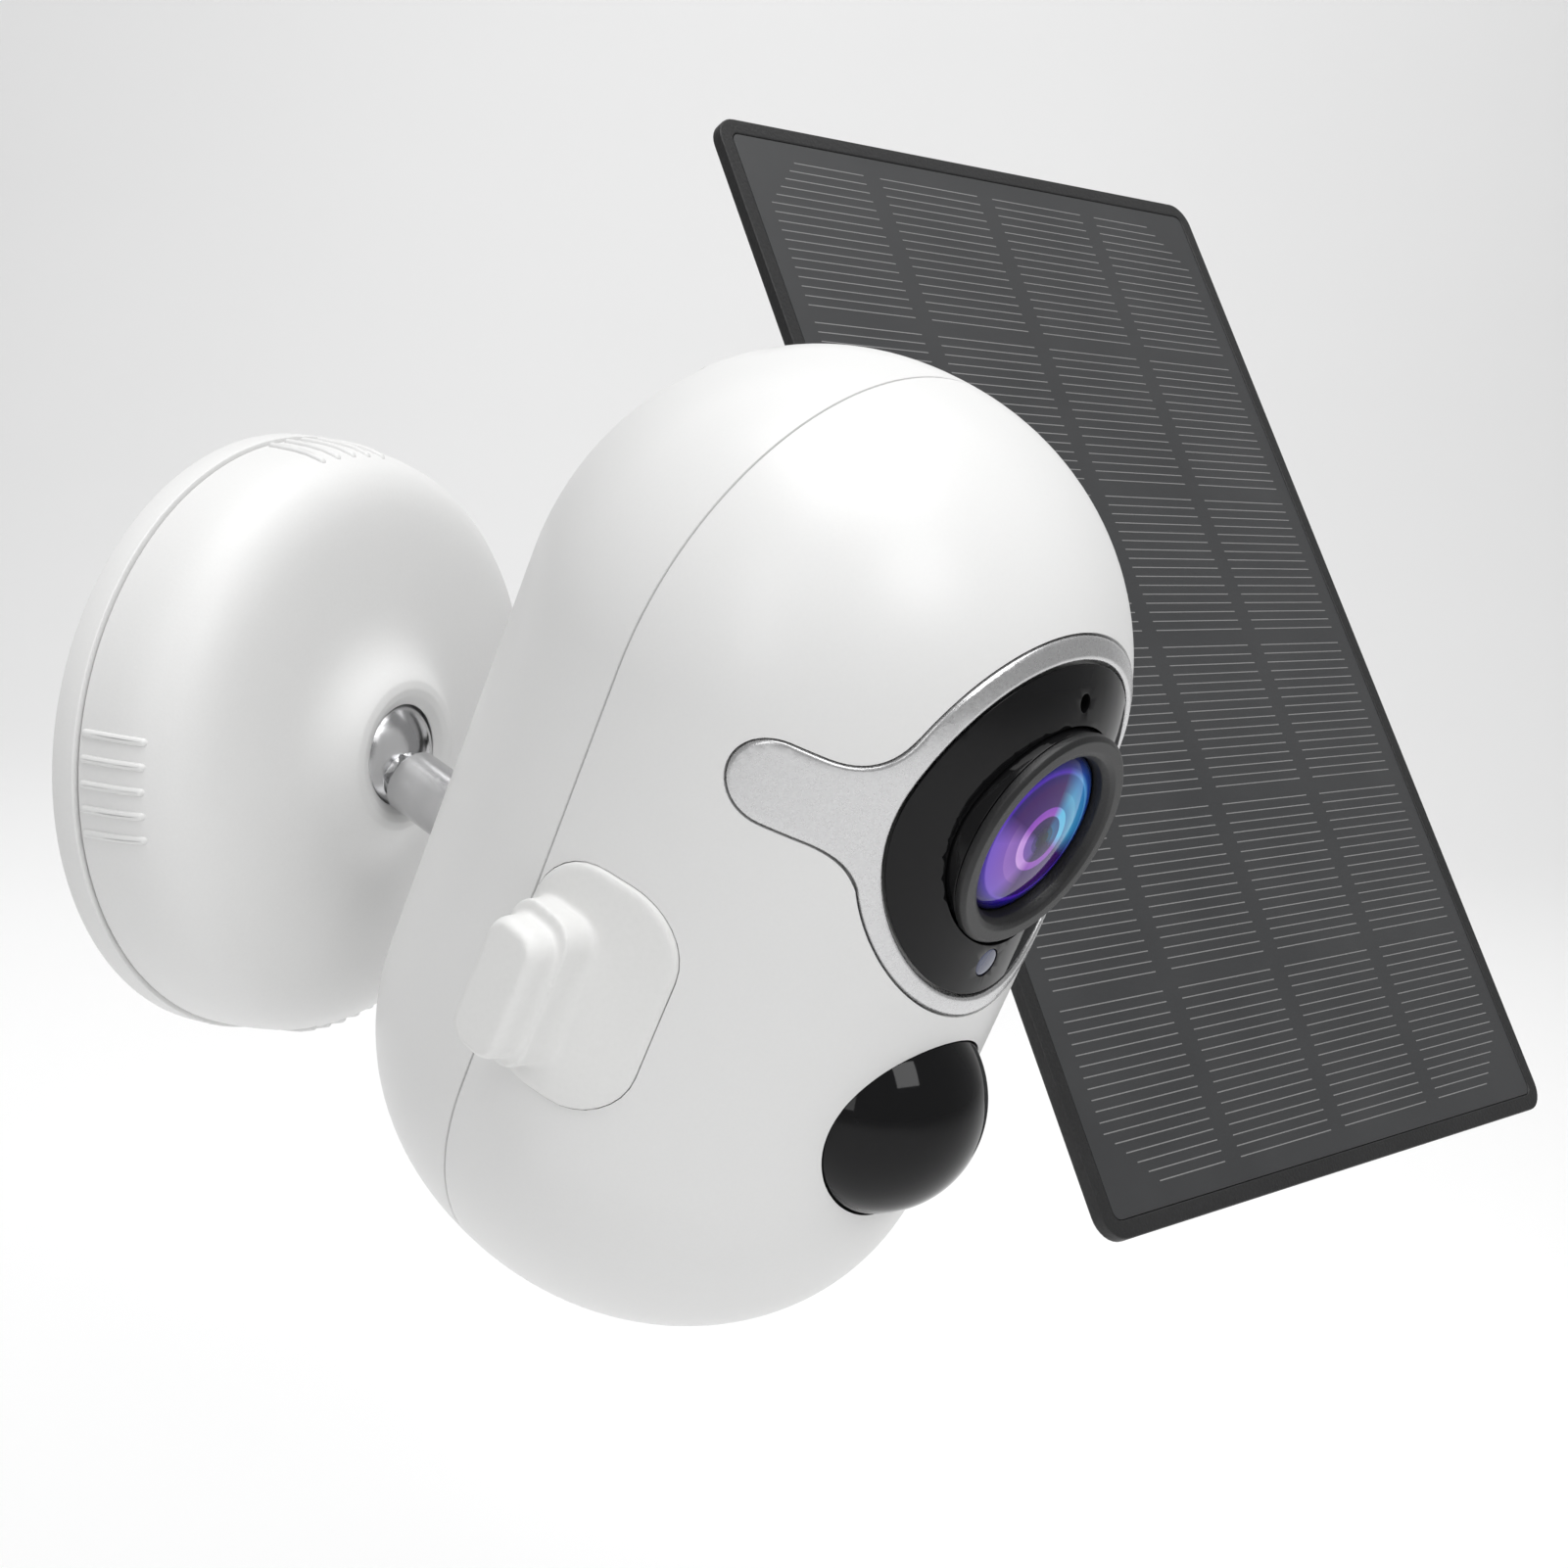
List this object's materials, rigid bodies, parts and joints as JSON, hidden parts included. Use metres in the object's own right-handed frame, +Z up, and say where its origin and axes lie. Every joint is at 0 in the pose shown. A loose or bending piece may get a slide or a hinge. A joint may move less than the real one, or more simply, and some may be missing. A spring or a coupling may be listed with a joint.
{
  "type": "solar-powered security camera",
  "caption": "Pear-shaped wall camera on a round ball mount, with lens, motion-sensor dome and port cover, and a tilted flat solar panel on its own wall bracket.",
  "frame": {"origin": "centre of the camera base's flat wall face, on the wall plane", "axes": "+Y into the wall, -Y out of the wall, +Z up, +X to the right seen from in front"},
  "size_m": [0.2344, 0.1337, 0.1444],
  "materials": {
    "base_white": "fine matte",
    "steel": "polished steel",
    "friction_plastic": "matte",
    "shell_white": "satin",
    "brass": "machined",
    "rubber": "matte",
    "screw_steel": "plated",
    "trim_silver": "fine-grained satin silver",
    "black_gloss": "glossy",
    "sensor_window": "tinted, glossy",
    "black_plastic": "matte",
    "black_satin": "satin",
    "lens_coated": "coated glass",
    "filter_glass": "clear",
    "chip": "matte",
    "board": "solder mask",
    "cell_wrap": "shrink film",
    "button_grey": "matte",
    "silicone_white": "matte silicone",
    "frame_black": "fine textured",
    "panel_glass": "smooth",
    "cell_dark": "satin with fine light lines"
  },
  "bodies": {
    "wall_base": {"base_back_plate": "base_white", "cup_spring": "steel", "panel_bracket": "frame_black"},
    "base_cover": {"base_cover": "base_white"},
    "friction_cup": {"ball_friction_cup": "friction_plastic"},
    "ball_stud": {"ball_stud": "steel"},
    "head": {"rear_shell": "shell_white", "stud_insert": "brass", "front_shell": "shell_white", "shell_seal": "rubber", "shell_screw_1": "screw_steel", "shell_screw_2": "screw_steel", "shell_screw_3": "screw_steel", "shell_screw_4": "screw_steel", "trim_plate": "trim_silver", "face_plate": "black_gloss", "light_sensor_window": "sensor_window", "microphone": "black_plastic", "lens_ring": "black_satin", "lens_glass": "lens_coated", "lens_element": "lens_coated", "lens_barrel": "black_satin", "lens_holder": "black_plastic", "image_sensor": "chip", "pir_dome": "black_gloss", "pir_sensor": "screw_steel", "main_board": "board", "antenna": "board", "speaker": "black_plastic", "battery_1": "cell_wrap", "battery_2": "cell_wrap", "battery_holder": "black_plastic", "port_board": "board", "usb_port": "screw_steel", "card_slot": "screw_steel"},
    "ir_filter": {"ir_cut_filter": "filter_glass"},
    "port_cover": {"port_cover": "silicone_white"},
    "reset_button": {"reset_button": "button_grey"},
    "power_button": {"power_button": "button_grey"},
    "panel_lock_ring": {"panel_lock_ring": "frame_black"},
    "panel_friction_cup": {"panel_friction_cup": "friction_plastic"},
    "panel_ball_stud": {"panel_ball_stud": "steel"},
    "panel": {"panel_frame": "frame_black", "panel_glass": "panel_glass", "cell_sheet": "cell_dark", "panel_back_cover": "frame_black", "panel_insert": "brass", "junction_box": "frame_black", "cable_gland": "rubber"},
    "panel_thumb_nut": {"panel_thumb_nut": "frame_black"}
  },
  "joints": [
    {"name": "cover_twist", "type": "hinge", "parent": "wall_base", "child": "base_cover", "pos_m": [0, 0, 0], "axis": [0, -1, 0], "range_deg": [0, 20]},
    {"name": "head_swivel", "type": "hinge", "parent": "wall_base", "child": "friction_cup", "pos_m": [0, -0.015, 0], "axis": [0, -1, 0], "range_deg": [-18, 20]},
    {"name": "head_tilt", "type": "hinge", "parent": "friction_cup", "child": "ball_stud", "pos_m": [0, -0.015, 0], "axis": [0.8549, 0, -0.5187], "range_deg": [-20, 1]},
    {"name": "head_spin", "type": "hinge", "parent": "ball_stud", "child": "head", "pos_m": [0, -0.015, 0], "axis": [-0.1774, -0.9397, -0.2924], "range_deg": [-25, 25]},
    {"name": "ir_filter_slide", "type": "slide", "parent": "head", "child": "ir_filter", "axis": [-0.9847, 0.1685, 0.0447], "range_m": [0, 0.005]},
    {"name": "port_cover_pull", "type": "slide", "parent": "head", "child": "port_cover", "axis": [-0.9847, 0.1685, 0.0447], "range_m": [0, 0.014]},
    {"name": "reset_press", "type": "slide", "parent": "head", "child": "reset_button", "axis": [0.9847, -0.1685, -0.0447], "range_m": [0, 0.0004], "stiffness_N_per_m": 400},
    {"name": "power_press", "type": "slide", "parent": "head", "child": "power_button", "axis": [0.9847, -0.1685, -0.0447], "range_m": [0, 0.0004], "stiffness_N_per_m": 400},
    {"name": "lock_ring_turn", "type": "hinge", "parent": "wall_base", "child": "panel_lock_ring", "pos_m": [0.12242, -0.05545, 0.00183], "axis": [0, -1, 0], "range_deg": [0, 90]},
    {"name": "panel_swivel", "type": "hinge", "parent": "wall_base", "child": "panel_friction_cup", "pos_m": [0.12242, -0.05545, 0.00183], "axis": [0, -1, 0], "range_deg": [-10, 10]},
    {"name": "panel_tilt", "type": "hinge", "parent": "panel_friction_cup", "child": "panel_ball_stud", "pos_m": [0.12242, -0.05545, 0.00183], "axis": [-0.917, 0, -0.3989], "range_deg": [-30, 1]},
    {"name": "panel_spin", "type": "hinge", "parent": "panel_ball_stud", "child": "panel", "pos_m": [0.12242, -0.05545, 0.00183], "axis": [-0.2358, -0.8065, 0.5421], "range_deg": [-5, 5]},
    {"name": "thumb_nut_turn", "type": "hinge", "parent": "panel_ball_stud", "child": "panel_thumb_nut", "pos_m": [0.12242, -0.05545, 0.00183], "axis": [-0.2358, -0.8065, 0.5421], "range_deg": [0, 90]}
  ]
}
